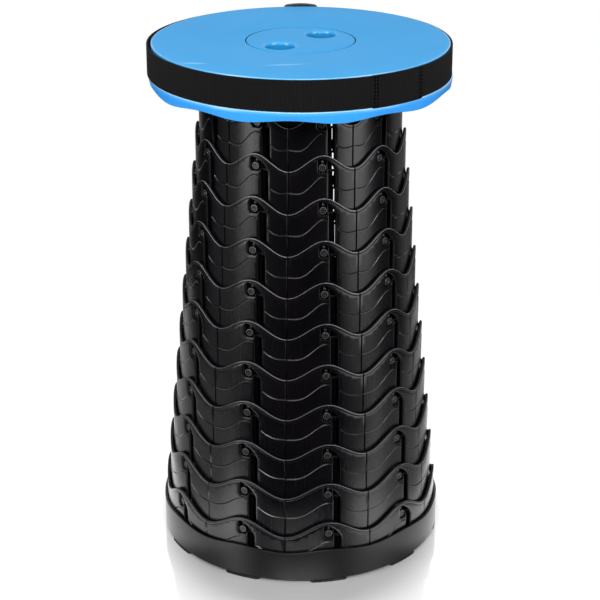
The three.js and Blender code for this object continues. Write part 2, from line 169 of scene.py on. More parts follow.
def skin(sections, closed=True, loop=True, capped=False):
    # Points and faces from each section to the next. A closed section joins its last point to its
    # first, a loop its last section, and a capped body has its first and last sections filled.
    count, total = len(sections[0]), len(sections)
    faces = []
    for n in range(total if loop else total - 1):
        a, b = n * count, (n + 1) % total * count
        for i in range(count if closed else count - 1):
            j = (i + 1) % count
            faces.append((a + i, b + i, b + j, a + j))
    if capped:
        faces += [range(count), range(total * count - 1, (total - 1) * count - 1, -1)]
    return [point for section in sections for point in section], faces


def turnedBody(name, sides, sectionAt, sharpAt=35.0):
    # Turned about the upright axis. The section goes anticlockwise, radius to the right.
    angles = [nest["firstAngle"] + n * 2 * math.pi / sides for n in range(sides)]
    sections = [[(*placeAt(r, angle), z) for r, z in sectionAt(angle)] for angle in angles]
    return newMesh(name, *skin(sections), sharpAt=sharpAt)


def roundedSection(corners, steps):
    # Corners are (radius, height, rounding). Each rounding becomes a curve of a few points.
    section = []
    for i, (r, z, size) in enumerate(corners):
        here = Vector((r, z))
        if size <= 0:
            section.append((r, z))
            continue
        before = Vector(corners[i - 1][:2]) - here
        after = Vector(corners[(i + 1) % len(corners)][:2]) - here
        reach = size / math.tan(before.angle(after) / 2)
        start = here + before.normalized() * reach
        end = here + after.normalized() * reach
        for n in range(steps + 1):
            t = n / steps
            point = start * (1 - t) ** 2 + here * 2 * t * (1 - t) + end * t ** 2
            section.append((point.x, point.y))
    return section


# Shader expressions

class Sock:
    # Wraps a socket or a number, so that sums of them add Math nodes
    def __init__(self, tree, value=0.0):
        self.tree, self.value = tree, value

    def link(self, target):
        if isinstance(self.value, bpy.types.NodeSocket):
            self.tree.links.new(self.value, target)
        else:
            target.default_value = self.value

    def node(self, kind, inputs=None, out=0, **settings):
        node = self.tree.nodes.new(kind)
        for key, value in settings.items():
            setattr(node, key, value)
        for key, value in (inputs or {}).items():
            wrapped = value if isinstance(value, Sock) else Sock(self.tree, value)
            wrapped.link(node.inputs[key])
        return Sock(self.tree, node.outputs[out])

    def maths(self, operation, other=0.0, **settings):
        return self.node("ShaderNodeMath", {0: self, 1: other}, operation=operation, **settings)

    def __add__(self, other):
        return self.maths("ADD", other)

    def __sub__(self, other):
        return self.maths("SUBTRACT", other)

    def __rsub__(self, other):
        return Sock(self.tree, other).maths("SUBTRACT", self)

    def __mul__(self, other):
        return self.maths("MULTIPLY", other)

    __radd__ = __add__
    __rmul__ = __mul__

    def clamp(self):
        return self.maths("ADD", use_clamp=True)

    def between(self, low, high):
        # 0 at low, 1 at high, smooth between
        return self.node("ShaderNodeMapRange", {"Value": self, "From Min": low, "From Max": high},
                         interpolation_type="SMOOTHSTEP")

    def mix(self, first, second):
        # From the first colour at 0 to the second at 1. A colour is a socket or 0 to 255 on the screen.
        first, second = (c if isinstance(c, Sock) else colour(*c) for c in (first, second))
        return self.node("ShaderNodeMix", {"Factor": self, "A": first, "B": second}, out="Result",
                         data_type="RGBA")

    def length(self):
        return self.node("ShaderNodeVectorMath", {0: self}, out="Value", operation="LENGTH")

    def parts(self):
        split = self.tree.nodes.new("ShaderNodeSeparateXYZ")
        self.link(split.inputs[0])
        return [Sock(self.tree, output) for output in split.outputs]


def colour(*rgb):
    return tuple(((c / 255 + 0.055) / 1.055) ** 2.4 if c > 10 else c / 255 / 12.92 for c in rgb) + (1,)


def newMaterial(name, build, **principled):
    material = bpy.data.materials.new(name)
    material.use_nodes = True
    tree = material.node_tree
    shader = tree.nodes["Principled BSDF"]
    for key, value in principled.items():
        shader.inputs[key.replace("_", " ")].default_value = value
    place = Sock(tree).node("ShaderNodeTexCoord", out="Object")
    for key, value in build(place).items():
        value.link(shader.inputs[key])
    return material


def noiseOf(place, scale, detail=3.0):
    return place.node("ShaderNodeTexNoise", {"Vector": place, "Scale": scale, "Detail": detail,
                                             "Roughness": 0.55})


def stretched(place, scale, turn=0.0):
    return place.node("ShaderNodeMapping", {"Vector": place, "Scale": scale, "Rotation": (0.0, 0.0, turn)})


def bumpOf(height, strength, distance):
    return height.node("ShaderNodeBump", {"Height": height, "Strength": strength, "Distance": distance})


def grainOf(place, scale, strength, distance=0.0002, detail=2.0):
    return bumpOf(noiseOf(place, scale, detail), strength, distance)


def attributesOf(place, *names):
    return [place.node("ShaderNodeAttribute", out="Fac", attribute_name=name) for name in names]


def ringPlastic(place):
    # Satin black with faint upright scuffs, a painted highlight along the rims, and painted shade in the
    # pressed lines, the creases and along the slots and pockets
    edge, paintedShade, matt = attributesOf(place, "edge", "paintedShade", "matt")
    cloud = noiseOf(place, scale=22.0, detail=4.0)
    scuff = noiseOf(stretched(place, (900.0, 900.0, 40.0)), scale=1.0).between(0.62, 0.78)
    shade = cloud.between(0.3, 0.7).mix((4, 3, 6), (7, 5, 9))
    shade = (scuff * 0.2).clamp().mix(shade, (25, 23, 29))
    # The pale rim colour is a painted highlight, and the near-black one below is painted shade
    shade = edge.clamp().mix(shade, (205, 203, 208))
    return {"Base Color": paintedShade.mix(shade, (2, 2, 3)),
            "Roughness": (0.22 + cloud * 0.08 + scuff * 0.1 + matt * 0.6).clamp(),
            "Normal": grainOf(place, scale=2600.0, strength=0.16)}


# Matt black with no shine: the thread of the stitches, and the painted shade of the slot lips and the plates
# behind the bosses
def threadBlackAndPaintedShade(place):
    grain = noiseOf(place, scale=1500.0, detail=2.0)
    return {"Base Color": grain.mix((3, 3, 4), (6, 6, 7)), "Roughness": 0.85 + grain * 0.1}


def basePlastic(place):
    cloud = noiseOf(place, scale=16.0, detail=4.0)
    shade = cloud.between(0.3, 0.7).mix((9, 9, 8), (13, 13, 12))
    # The band along the top of the tray's rim is darkened to near black: painted shade
    return {"Base Color": attributesOf(place, "edge")[0].clamp().mix(shade, (2, 2, 2)),
            "Roughness": 0.3 + cloud * 0.1,
            "Normal": grainOf(place, scale=2200.0, strength=0.22)}


def seatPlastic(place):
    # Moulded blue plastic: fine spark-eroded grain, faint flow clouds, hairline scratches and two long pale
    # streaks; below the ledge it is painted lighter, with painted highlight on edges and lips and painted
    # shade in the gap and holes
    edge, dark = attributesOf(place, "edge", "dark")
    cloud = noiseOf(place, scale=9.0)
    grain = noiseOf(place, scale=1500.0)
    scratchesAndStreaks = noiseOf(stretched(place, (22.0, 1100.0, 22.0), 0.08), scale=1.0, detail=1.0).between(0.72, 0.77)
    # Two long pale streaks on the top, at listed places
    for x, y, turn, length, width in seat["paleStreaks"]:
        spot = place.node("ShaderNodeMapping", {
            "Vector": place, "Location": (x * mm, y * mm, seat["top"] * mm), "Rotation": (0.0, 0.0, turn),
            "Scale": (length / 2 * mm, width / 2 * mm, width / 2 * mm)}, vector_type="TEXTURE")
        scratchesAndStreaks = scratchesAndStreaks.maths("MAXIMUM", spot.length().between(1.0, 0.3) * 2.4)
    low = place.parts()[2].between(seat["ledge"] * mm, (seat["ledge"] - 1) * mm)
    shade = cloud.between(0.3, 0.7).mix((41, 159, 226), (49, 164, 230))
    # Below the ledge the colour is painted lighter and bluer, standing in for more light on the upright skirt
    shade = low.mix(shade, (62, 166, 255))
    # Painted highlight along the lit edges, round the holes' lips and in their glints
    shade = (edge * edge).clamp().mix(shade, (215, 246, 255))
    shade = (scratchesAndStreaks * 0.3).clamp().mix(shade, (150, 210, 250))
    # Painted shade in the gap round the cap and deeper in the finger holes
    return {"Base Color": dark.mix(shade, (10, 52, 88)),
            "Roughness": 0.34 + grain * 0.12 + scratchesAndStreaks * 0.1,
            "Normal": bumpOf(grain, strength=0.25, distance=0.00025),
            "Coat Weight": (edge * 3).clamp()}


def strapWebbing(place):
    # Ribbed polyester webbing. UV runs along the strap and across it, in metres.
    along, across, _ = place.node("ShaderNodeUVMap", uv_map="weave").parts()
    rib = (along * (2 * math.pi / webbing["ribPitch"])).maths("SINE")
    yarn = (across * (2 * math.pi / webbing["yarnPitch"]) + rib * 1.2).maths("SINE")
    fuzz = noiseOf(place, scale=1800.0)
    wear = noiseOf(place, scale=30.0).between(0.35, 0.75)
    shade = (rib * 0.5 + 0.5).clamp().mix((3, 3, 3), (29, 27, 27))
    return {"Base Color": (wear * 0.3).clamp().mix(shade, (21, 20, 20)),
            "Roughness": 0.72 + fuzz * 0.2,
            "Normal": bumpOf(rib * 0.5 + yarn * 0.22 + fuzz * 0.5, strength=0.75, distance=0.0004)}


def buckleBlack(place):
    cloud = noiseOf(place, scale=60.0)
    return {"Base Color": cloud.mix((10, 10, 11), (22, 22, 23)),
            "Roughness": 0.3 + cloud * 0.2,
            "Normal": grainOf(place, scale=3000.0, strength=0.12)}


def padRubber(place):
    dust = noiseOf(place, scale=90.0, detail=4.0).between(0.45, 0.75)
    return {"Base Color": (dust * 0.6).clamp().mix((22, 22, 22), (62, 61, 59)),
            "Roughness": 0.8 + dust * 0.12,
            "Normal": grainOf(place, scale=1800.0, strength=0.5, distance=0.0003, detail=3.0)}


def screwSteel(place):
    turned = noiseOf(stretched(place, (300.0, 300.0, 4000.0)), scale=1.0)
    return {"Base Color": turned.mix((150, 152, 155), (205, 207, 210)),
            "Roughness": 0.22 + turned * 0.2,
            "Normal": bumpOf(turned, strength=0.1, distance=0.0001)}


# The seat's sizes stand here because its material needs some. A pale streak is (x, y, turn, length, width).
seat = {
    "top": 449.975, "under": 447.375, "radius": 125.7, "ledge": 423.375, "ledgeRadius": 128.1,
    "ledgeBulge": 0.05, "ledgeDrop": 3.0, "edgeBand": 2.6,
    "skirtInner": 125.2, "skirtOuter": 126.9, "skirtMiddle": 414.675, "skirtWave": 3.0,
    "skirtShift": math.radians(3), "shoulder": 417.9, "wallInner": 123.2, "bore": 46.5, "collar": 48.4,
    "flangeTop": 440.175, "flangeUnder": 437.975, "flangeInner": 39.8, "sides": 300,
    "spigotOuter": 79.5, "spigotInner": 77.1, "spigotFoot": 431.7, "spigotSides": 160,
    "ribHeight": 12.0, "ribWidth": 2.0, "ribLap": 1.0, "rootLap": 0.6, "smallEdge": 0.4,
    "gussetReach": 85.05, "gussetWidth": 2.0, "gussetLevel": 441.7, "gussetLap": 1.2,
    "edge": 1.1, "litEdges": (-23, 24), "litSpread": 11, "edgeShine": 1.3, "ledgeShine": 1.2,
    "paleStreaks": ((-86.0, -77.7, -0.1, 31.0, 6.5), (-12.5, -82.2, 0.14, 50.0, 6.0)),
}
webbing = {"ribPitch": 1.25 * mm, "yarnPitch": 0.8 * mm}

finishes = {
    "ring": newMaterial("ringPlastic", ringPlastic, Specular_IOR_Level=0.5),
    "shade": newMaterial("threadBlackAndPaintedShade", threadBlackAndPaintedShade, Specular_IOR_Level=0.0),
    "base": newMaterial("basePlastic", basePlastic, Specular_IOR_Level=0.32),
    "seat": newMaterial("seatPlastic", seatPlastic, Specular_IOR_Level=0.06, Coat_Roughness=0.16),
    "strap": newMaterial("strapWebbing", strapWebbing, Specular_IOR_Level=0.08, Sheen_Weight=0.03,
                         Sheen_Roughness=0.5),
    "buckle": newMaterial("buckleBlack", buckleBlack),
    "pad": newMaterial("padRubber", padRubber, Specular_IOR_Level=0.3),
    "steel": newMaterial("screwSteel", screwSteel, Metallic=1.0),
}
print("materials ready")


# Geometry Nodes: copies of a piece at points, each turned by the point's own angles

def copiesTree():
    tree = bpy.data.node_groups.new("copiesAtPoints", "GeometryNodeTree")
    kinds = {"Points": "Geometry", "Piece": "Object", "Finish": "Material", "Weld distance": "Float"}
    for name, kind in kinds.items():
        tree.interface.new_socket(name, in_out="INPUT", socket_type="NodeSocket" + kind)
    tree.interface.new_socket("Copies", in_out="OUTPUT", socket_type="NodeSocketGeometry")
    start = tree.nodes.new("NodeGroupInput")
    points, piece, finish, distance = (Sock(tree, start.outputs[name]) for name in kinds)
    shape = piece.node("GeometryNodeObjectInfo", {"Object": piece}, out="Geometry")
    turn = points.node("GeometryNodeInputNamedAttribute", {"Name": "turn"}, out="Attribute",
                       data_type="FLOAT_VECTOR")
    rotation = turn.node("FunctionNodeEulerToRotation", {0: turn})
    copies = points.node("GeometryNodeInstanceOnPoints",
                         {"Points": points, "Instance": shape, "Rotation": rotation})
    whole = copies.node("GeometryNodeRealizeInstances", {0: copies})
    welded = whole.node("GeometryNodeMergeByDistance", {"Geometry": whole, "Distance": distance})
    finished = welded.node("GeometryNodeSetMaterial", {"Geometry": welded, "Material": finish})
    finished.link(tree.nodes.new("NodeGroupOutput").inputs[0])
    return tree


copiesAtPoints = copiesTree()


# One copy at each wave, turned about the upright axis
aroundRing = [(0.0, 0.0, 0.0, (0.0, 0.0, nest["firstAngle"] + n * 2 * math.pi / nest["waves"]))
              for n in range(nest["waves"])]


def copyPiece(name, piece, finish, places=aroundRing, weld=1e-7, sharpAt=35.0):
    # places holds (x, y, z in mm, turn as Euler angles). The piece itself is used up.
    mesh = bpy.data.meshes.new(name)
    mesh.from_pydata([tuple(c * mm for c in place[:3]) for place in places], [], [])
    turns = mesh.attributes.new("turn", "FLOAT_VECTOR", "POINT")
    turns.data.foreach_set("vector", [angle for place in places for angle in place[3]])
    holder = linked(name, mesh)
    modifier = holder.modifiers.new("copies", "NODES")
    modifier.node_group = copiesAtPoints
    given = {"Piece": piece, "Finish": finishes[finish], "Weld distance": weld}
    for item in copiesAtPoints.interface.items_tree:
        if item.name in given:
            modifier[item.identifier] = given[item.name]
    result = bpy.data.meshes.new_from_object(holder.evaluated_get(bpy.context.evaluated_depsgraph_get()))
    holder.modifiers.remove(modifier)
    holder.data = result
    result.name = name
    smoothMesh(result, sharpAt)
    if "turn" in result.attributes:
        result.attributes.remove(result.attributes["turn"])
    bpy.data.objects.remove(piece)
    return holder


def finishWith(piece, finish, body, slotName, *nodes):
    # Copies have their finish from Geometry Nodes
    if finish and not piece.data.materials:
        piece.data.materials.append(finishes[finish])
    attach(piece, body)
    if nodes:
        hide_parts(*nodes)


# Flat panels with holes, filled by triangles and rounded along their edges

def segmentDistance(points, segments):
    # The distance from each point to the nearest of the segments
    a, b = segments[:, 0][None], segments[:, 1][None]
    p = points[:, None]
    along = np.clip(((p - a) * (b - a)).sum(2) / np.maximum(((b - a) ** 2).sum(2), 1e-12), 0, 1)
    return np.sqrt((((a + along[..., None] * (b - a)) - p) ** 2).sum(2)).min(1)


def insideLoop(points, loop):
    inside = np.zeros(len(points), bool)
    for (x0, y0), (x1, y1) in zip(loop, np.roll(loop, -1, 0)):
        if y0 != y1:
            crosses = (y0 > points[:, 1]) != (y1 > points[:, 1])
            inside ^= crosses & (points[:, 0] < (x1 - x0) * (points[:, 1] - y0) / (y1 - y0) + x0)
    return inside


def offsetLoop(loop, distance):
    # A closed anticlockwise loop moved outwards by the distance
    loop = np.array(loop, float)
    step = np.roll(loop, -1, 0) - loop
    normal = np.stack([step[:, 1], -step[:, 0]], 1) / np.linalg.norm(step, axis=1)[:, None]
    mean = normal + np.roll(normal, 1, 0)
    mean /= np.maximum((mean ** 2).sum(1), 0.6)[:, None] / 2
    moved = loop + mean * distance
    return [tuple(p) for p in moved] + [tuple(moved[0])]


def noSeam(p, q):
    return False


def fillPanel(loops, chains, scatter, isSeam=noSeam):
    # Triangles inside the first loop and outside the others, with the chains as edges between them
    points, edges = [], []

    def chain(line, closed):
        first, count = len(points), len(line)
        points.extend(line)
        edges.extend((first + i, first + (i + 1) % count) for i in range(count if closed else count - 1))
        return range(first, first + count)

    ids = [chain(loop, True) for loop in loops]
    for line in chains:
        chain(line, False)
    lines = np.array([[points[a], points[b]] for a, b in edges], float)
    if len(scatter):
        scatter = np.array(scatter, float)
        points.extend(map(tuple, scatter[segmentDistance(scatter, lines) > 0.75]))
    made, _, faces, origins, _, _ = delaunay_2d_cdt([Vector(p) for p in points], edges, [], 0, 1e-4)
    made = np.array([tuple(v) for v in made])
    faces = np.array([f for f in faces if len(f) == 3])
    now = {old: new for new, olds in enumerate(origins) for old in olds}
    middle = made[faces].mean(1)
    keep = insideLoop(middle, loops[0])
    for loop in loops[1:]:
        keep &= ~insideLoop(middle, loop)
    faces = faces[keep]
    a, b, c = (made[faces[:, i]] for i in range(3))
    turn = (b[:, 0] - a[:, 0]) * (c[:, 1] - a[:, 1]) - (b[:, 1] - a[:, 1]) * (c[:, 0] - a[:, 0])
    faces[turn < 0] = faces[turn < 0][:, ::-1]
    sides = [(loop[i - 1], loop[i]) for loop in loops for i in range(len(loop))]
    rims = np.array([side for side in sides if not isSeam(*side)], float)
    return {"points": made, "faces": faces, "loops": [[now[i] for i in loop] for loop in ids],
            "distance": segmentDistance(made, rims)}


def roundLoss(distance, size):
    short = np.clip(size - distance, 0, size)
    return size - np.sqrt(np.maximum(size ** 2 - short ** 2, 0))


def panelSolid(name, front, back, frontPlace, backPlace, isSeam=noSeam):
    # Joins a front and a back skin by walls along their loops
    first = len(front["points"])
    faces = [tuple(f) for f in front["faces"]] + [tuple(f[::-1] + first) for f in back["faces"]]
    for which, (outer, inner) in enumerate(zip(front["loops"], back["loops"])):
        for i in range(len(outer)):
            j = (i + 1) % len(outer)
            if isSeam(front["points"][outer[i]], front["points"][outer[j]]):
                continue
            wall = (outer[j], outer[i], inner[i] + first, inner[j] + first)
            faces.append(wall if which == 0 else wall[::-1])
    return newMesh(name, np.concatenate([frontPlace, backPlace]), faces)


def arc(x, y, radius, start, end, steps):
    angles = [math.radians(start + (end - start) * i / steps) for i in range(steps + 1)]
    return [(x + radius * math.cos(a), y + radius * math.sin(a)) for a in angles]


# Wall rings. Each is ten alike sectors of a wavy wall with a hook slot.

hook = {
    "left": -4.2, "right": 3.65, "slotLeft": 4.65, "slotRight": 11.65, "slotLow": 6,
    "floor": 36.075, "high": 48.325, "bridge": 1.8, "seat": 3.0, "corner": 2.2, "footCorner": 1,
    "archHeight": 13.4, "archPower": 1.5, "channelBridge": 1.6, "channelMiddle": 20,
    "channelDepth": 1.4, "step": 0.05, "clear": 0.7, "cut": 0.9,
    "floorPoints": (0.5, 2.2), "sidePoints": (4.4, 6.6),
    "detent": ((3.65, 0), (3.8, 0.9), (3.98, 1.7), (4.2, 2.3), (4.42, 2.5), (4.58, 2.3), (4.65, 1.8)),
}
rim = {"edge": 0.42, "lineBelow": 2.1, "lineHalf": 0.2, "lineDepth": 0.07, "lineShade": 0.2,
       "midLine": 17.8, "midDepth": 0.55, "midHalf": 0.6, "midLip": 0.4, "lipShine": (0.12, 0.03),
       "foldDepth": 0.8, "foldHalf": 0.75, "foldLow": 0.6,
       "firstShine": 0.3, "shineStep": 0.05, "sideShine": (0.5, 0.85), "mostShine": 0.8,
       "shineLow": 3, "shineFade": 1.5}
grid = {"start": math.radians(-11), "end": math.radians(25), "row": 3.4, "lastRow": 47,
        "coarse": 30, "fine": 61, "apart": 0.9, "belowRim": 1.2, "besideFold": 0.4}


def hookLoop():
    # Anticlockwise from the pocket's left side, with the points of the recessed floor marked
    h, corner, foot = hook, hook["corner"], hook["footCorner"]
    bottom = arc(h["left"] + h["seat"], h["floor"] + h["seat"], h["seat"], 180, 270, 7)
    bottom += [(x, h["floor"]) for x in (*h["floorPoints"], h["right"] - h["step"])]
    detent = [(x, h["floor"] + up) for x, up in h["detent"]]
    down = [(h["slotLeft"], y) for y in np.linspace(h["floor"] - 1, h["slotLow"], 10)]
    ends = arc(h["slotLeft"] + foot, h["bridge"] + foot, foot, 180, 270, 4)
    ends += arc(h["slotRight"] - foot, h["bridge"] + foot, foot, 270, 360, 4)
    spring = h["high"] - h["archHeight"]
    up = [(h["slotRight"], y) for y in np.linspace(h["slotLow"], spring - 2, 10)]
    start = h["left"] + corner
    width, power = h["slotRight"] - start, 2 / h["archPower"]
    arch = []
    for n in range(17):
        t = math.radians(90 * n / 16)
        arch.append((start + width * math.cos(t) ** power, spring + h["archHeight"] * math.sin(t) ** power))
    side = arc(start, h["high"] - corner, corner, 90, 180, 5)[1:]
    side += [(h["left"], h["high"] - d) for d in h["sidePoints"]]
    first = [(h["left"], h["floor"] + h["seat"] + h["step"])]
    loop = first + bottom + detent + down + ends + up + arch + side
    return loop, [1 <= i <= len(bottom) for i in range(len(loop))]


def channelLine(mouth, inset):
    # The outline of the channel below the pocket, or that of its floor, which is inset
    left, right, low = hook["left"] + inset, hook["right"] - inset, hook["channelBridge"] + inset
    half = hook["channelMiddle"]
    return [mouth, (left, half), (left, low), (0, low), (right, low), (right, half), (right, hook["floor"])]


def ringSector(k):
    radius, edge = ringRadius(k), rim["edge"]
    start, end = grid["start"] * radius, grid["end"] * radius
    sweep = nest["waves"] / radius
    fold = math.pi / nest["waves"] * radius

    def top(x):
        return rimHeight(sweep * x)

    def lean(x):
        # How much longer the rim is than its length along x
        return np.sqrt(1 + (nest["wave"] * sweep * np.sin(sweep * x) / 2) ** 2)

    def below(xs, distance):
        # The line that runs below the rim by the distance
        return [(x, float(top(x) - distance * lean(x))) for x in xs]

    def isSeam(p, q):
        return abs(p[0] - q[0]) < 1e-4 and (abs(p[0] - start) < 1e-3 or abs(p[0] - end) < 1e-3)

    rounding = [0.3 * edge, edge]
    marks = rounding + [rim["lineBelow"] + d for d in (-rim["lineHalf"], 0, rim["lineHalf"])]
    half = rim["midHalf"]
    middle = [rim["midLine"] + d for d in (-half, 0, half, half + rim["midLip"])]
    rows = list(np.arange(grid["row"], grid["lastRow"], grid["row"]))
    seamTop = float(top(start))
    seam = sorted([0, *rounding, seamTop] + [below([start], m)[0][1] for m in marks + middle])
    seam += [y for y in rows if y < seamTop - 1 and min(abs(y - s) for s in seam) > grid["apart"]]
    seam.sort()
    creases = fold + rim["foldHalf"] * np.array([-1, 0, 1])
    coarse = np.linspace(start, end, grid["coarse"])
    fine = np.linspace(start, end, grid["fine"])
    fine = fine[np.abs(fine - fold) > rim["foldHalf"] + grid["besideFold"]]
    fine = np.sort(np.concatenate([fine, creases]))
    outline = [(x, 0.0) for x in coarse[:-1]] + [(end, y) for y in seam[:-1]]
    outline += [(x, float(top(x))) for x in fine[:0:-1]] + [(start, y) for y in seam[:0:-1]]
    outline[0] = (start, 0.0)

    loop, recessed = hookLoop()
    scatter = [(x, y) for x in coarse[1:-1] for y in rows if y < top(x) - grid["belowRim"]]
    foot = [[(x, size) for x in coarse] for size in rounding]
    lines = foot + [offsetLoop(loop, size) for size in rounding]
    lines += [below(fine, m) for m in marks]
    besideSlot = [[x for x in fine if x < hook["slotLeft"] - hook["clear"]],
                  [x for x in fine if x > hook["slotRight"] + hook["clear"]]]
    lines += [below(part, m) for m in middle for part in besideSlot]
    lines += [[(x, rim["foldLow"]), (x, float(top(x)))] for x in creases]
    front = fillPanel([outline, loop], lines, scatter, isSeam)
    lines = [below(fine, m) for m in rounding] + foot
    lines += [channelLine(loop[0], 0), channelLine(loop[1], hook["step"])]
    back = fillPanel([outline, loop], lines, scatter, isSeam)

    def place(panel, depth):
        x, y = panel["points"].T
        return np.stack([depth * np.sin(x / radius), -depth * np.cos(x / radius), ringFoot(k) + y], 1)

    # The front has the pressed line half-way, the thin one near the rim and the crease between two waves
    x, y = front["points"].T
    away, leftSide = (top(x) - y) / lean(x), np.sin(sweep * x) < 0
    uncut = 1 - ((x > hook["slotLeft"] - hook["cut"]) & (x < hook["slotRight"] + hook["cut"]))
    mid = np.clip(1 - np.abs(away - rim["midLine"]) / rim["midHalf"], 0, 1) * uncut
    thin = np.clip(1 - np.abs(away - rim["lineBelow"]) / rim["lineHalf"], 0, 1)
    crease = np.clip(1 - np.abs(x - fold) / rim["foldHalf"], 0, 1) * (y > rim["foldLow"] - 0.05)
    loss = np.maximum.reduce([roundLoss(front["distance"], edge), mid * rim["midDepth"],
                              crease * rim["foldDepth"], thin * rim["lineDepth"]])
    outer = place(front, radius - loss)
    hookLines = np.array([[loop[i - 1], loop[i]] for i in range(len(loop))])
    fromHook = segmentDistance(front["points"], hookLines)
    # Painted shade in the pressed line, the crease and along the hook's outline, fainter in the thin line
    paintedShadeFront = np.maximum.reduce([np.clip(1.8 * np.maximum(mid, crease), 0, 1),
                                 np.clip(1.3 - fromHook / edge, 0, 1), thin * rim["lineShade"]])
    # Painted highlight along the rim's edge, brighter on one side of each wave and on higher rings, and
    # fainter on the lower lip of the pressed line
    onRim = np.clip((y - top(x) + rim["shineLow"]) / rim["shineFade"], 0, 1)
    bright = (rim["firstShine"] + rim["shineStep"] * k) * np.where(leftSide, *rim["sideShine"])
    shine = np.interp(front["distance"], [0, *rounding], [0.05, 1, 0]) * onRim
    shine *= np.minimum(bright, rim["mostShine"])
    onLip = np.abs(away - rim["midLine"] - rim["midHalf"]) < 0.05
    shine = np.maximum(shine, onLip * uncut * np.where(leftSide, *rim["lipShine"])) * (1 - crease)

    # The back has a channel below the pocket, for the lug that slides down in it
    x, y = back["points"].T
    depth, half = roundLoss(back["distance"], edge), hook["step"] / 2
    inChannel = ((x > hook["left"] + half) & (x < hook["right"] - half)
                 & (y > hook["channelBridge"] + half) & (y < hook["floor"] + 0.01))
    inChannel[[i for i, flag in zip(back["loops"][1], recessed) if flag]] = True
    depth[inChannel] = hook["channelDepth"]
    inner = place(back, radius - nest["wall"] + depth)
    # The back's loop round the hook gets painted shade, so that the slot's walls show black
    behind = np.zeros(len(x))
    behind[back["loops"][1]] = 1

    sector = panelSolid(f"sector{k}", front, back, outer, inner, isSeam)
    setAttribute(sector, "edge", np.concatenate([shine, np.zeros(len(x))]))
    setAttribute(sector, "paintedShade", np.concatenate([paintedShadeFront, behind]))
    setAttribute(sector, "matt", np.concatenate([panel["distance"] < 0.01 for panel in (front, back)]))
    return sector


# The lug's face is given as (radius, depth), and its painted highlight as (radius, strength)
lug = {
    "radius": 3.3, "height": 4.5, "reach": 2.25, "sides": 26, "firstReach": 1.4, "root": -0.5,
    "face": ((0, 0.5), (0.75, 0.5), (0.95, 0.12), (1.5, 0.1), (1.68, 0.42), (2.0, 0.42), (2.2, 0.05),
             (2.8, 0), (3.15, 0.12), (3.3, 0.4)),
    "shine": ((0.7, 0), (0.95, 0.06), (1.5, 0.06), (1.7, 0), (2.0, 0), (2.2, 0.02), (2.8, 0.13), (3.3, 0.01)),
    "tab": (1.4, 0.75, 1.5), "tabAt": 0.4, "tabRise": 4.5, "tabShine": 0.04,
    "nub": (0.9, 0.9, 0.65), "nubAt": 6.8, "nubSink": 0.1, "markRadius": 1.85, "markHalf": 0.2,
}
lip = {"widths": (4.0, 1.1), "lap": 0.2, "thickness": 0.95, "low": 2.2, "high": 36.5, "edge": 0.15,
       "plateHalf": 4.1, "plateBelow": 4.2, "plateAbove": 8.2, "plateReach": 0.3, "plateRoot": 0.6}


def lugPiece(radius, foot, reach, withNub):
    # A round boss with ring marks on its face, a small tab above it, and a nub on the rim
    middle, full = foot + lug["height"], lug["radius"]
    profile = [(r, reach - depth) for r, depth in lug["face"]] + [(full, lug["root"])]
    sections = []
    for n in range(lug["sides"]):
        a = 2 * math.pi * n / lug["sides"]
        sections.append([(r * math.cos(a), -(radius + t), middle + r * math.sin(a)) for r, t in profile])
    points, faces = skin(sections, closed=False)
    faces.append(range(len(profile) - 1, len(points), len(profile)))
    boss = newMesh("boss", points, faces)
    editMesh(boss, weldBy(1e-6), faceOutwards)
    parts = [boss, softBump("tab", (lug["tabAt"], -(radius + 0.05), middle + lug["tabRise"]), lug["tab"])]
    if withNub:
        angle = lug["nubAt"] / radius
        x, y = placeAt(radius - nest["wall"] / 2, angle)
        z = foot + rimHeight(nest["waves"] * angle) - lug["nubSink"]
        parts.append(softBump("nub", (x, y, z), lug["nub"]))
    # Painted highlight, faint on the tab and the nub and in rings on the boss's face; painted shade on the
    # boss's side and along its mark
    for part in parts:
        setAttribute(part, "edge", lug["tabShine"])
    around = np.array([math.hypot(x, z - middle) for x, y, z in vertexPlaces(boss)])
    setAttribute(boss, "edge", np.interp(around, *zip(*lug["shine"])))
    onMark = abs(around - lug["markRadius"]) < lug["markHalf"]
    setAttribute(boss, "paintedShade", (around > full - 0.05) | onMark)
    return joinObjects("lugs", parts)


def slotLips(radius, foot, withShadePlate):
    # Thin lips in the long slot, at the wall's inner face, which narrow the view through it, and a plate
    # behind the boss; both are matt black with no shine, painted shade where the slot and the pocket lie in
    # shadow
    inner = radius - nest["wall"]
    parts = []
    for name, side, width in zip(("slotLeft", "slotRight"), (1, -1), lip["widths"]):
        half = width / 2 + lip["lap"]
        strip = boxPiece("lip", half, (-inner - lip["thickness"], -inner),
                         (foot + lip["low"], foot + lip["high"]), lip["edge"])
        at = hook[name] + side * (width / 2 - lip["lap"])
        strip.data.transform(Matrix.Rotation(at / radius, 4, "Z"))
        parts.append(strip)
    if withShadePlate:
        middle = foot + lug["height"]
        depths = (-radius - lip["plateReach"], -radius + lip["plateRoot"])
        heights = (middle - lip["plateBelow"], middle + lip["plateAbove"])
        parts.append(boxPiece("plate", lip["plateHalf"], depths, heights, 0.1))
    return joinObjects("lips", parts)


def wallRing(k):
    radius, foot = ringRadius(k), ringFoot(k)
    body = "base" if k == 1 else "seat" if k == nest["rings"] else f"ring_{k}"
    ring = copyPiece(f"wallRing{k}", ringSector(k), "ring", weld=4e-6)
    boss = lugPiece(radius, foot, lug["firstReach"] if k == 1 else lug["reach"], True)
    bosses = copyPiece(f"wallRing{k}Lugs", boss, "ring", sharpAt=50)
    finishWith(ring, None, body, "ring_black", f"wall_ring_{k}")
    lips = copyPiece(f"wallRing{k}Lips", slotLips(radius, foot, k > 1), "shade")
    finishWith(bosses, None, body, "ring_black")
    finishWith(lips, None, body, "ring_black")


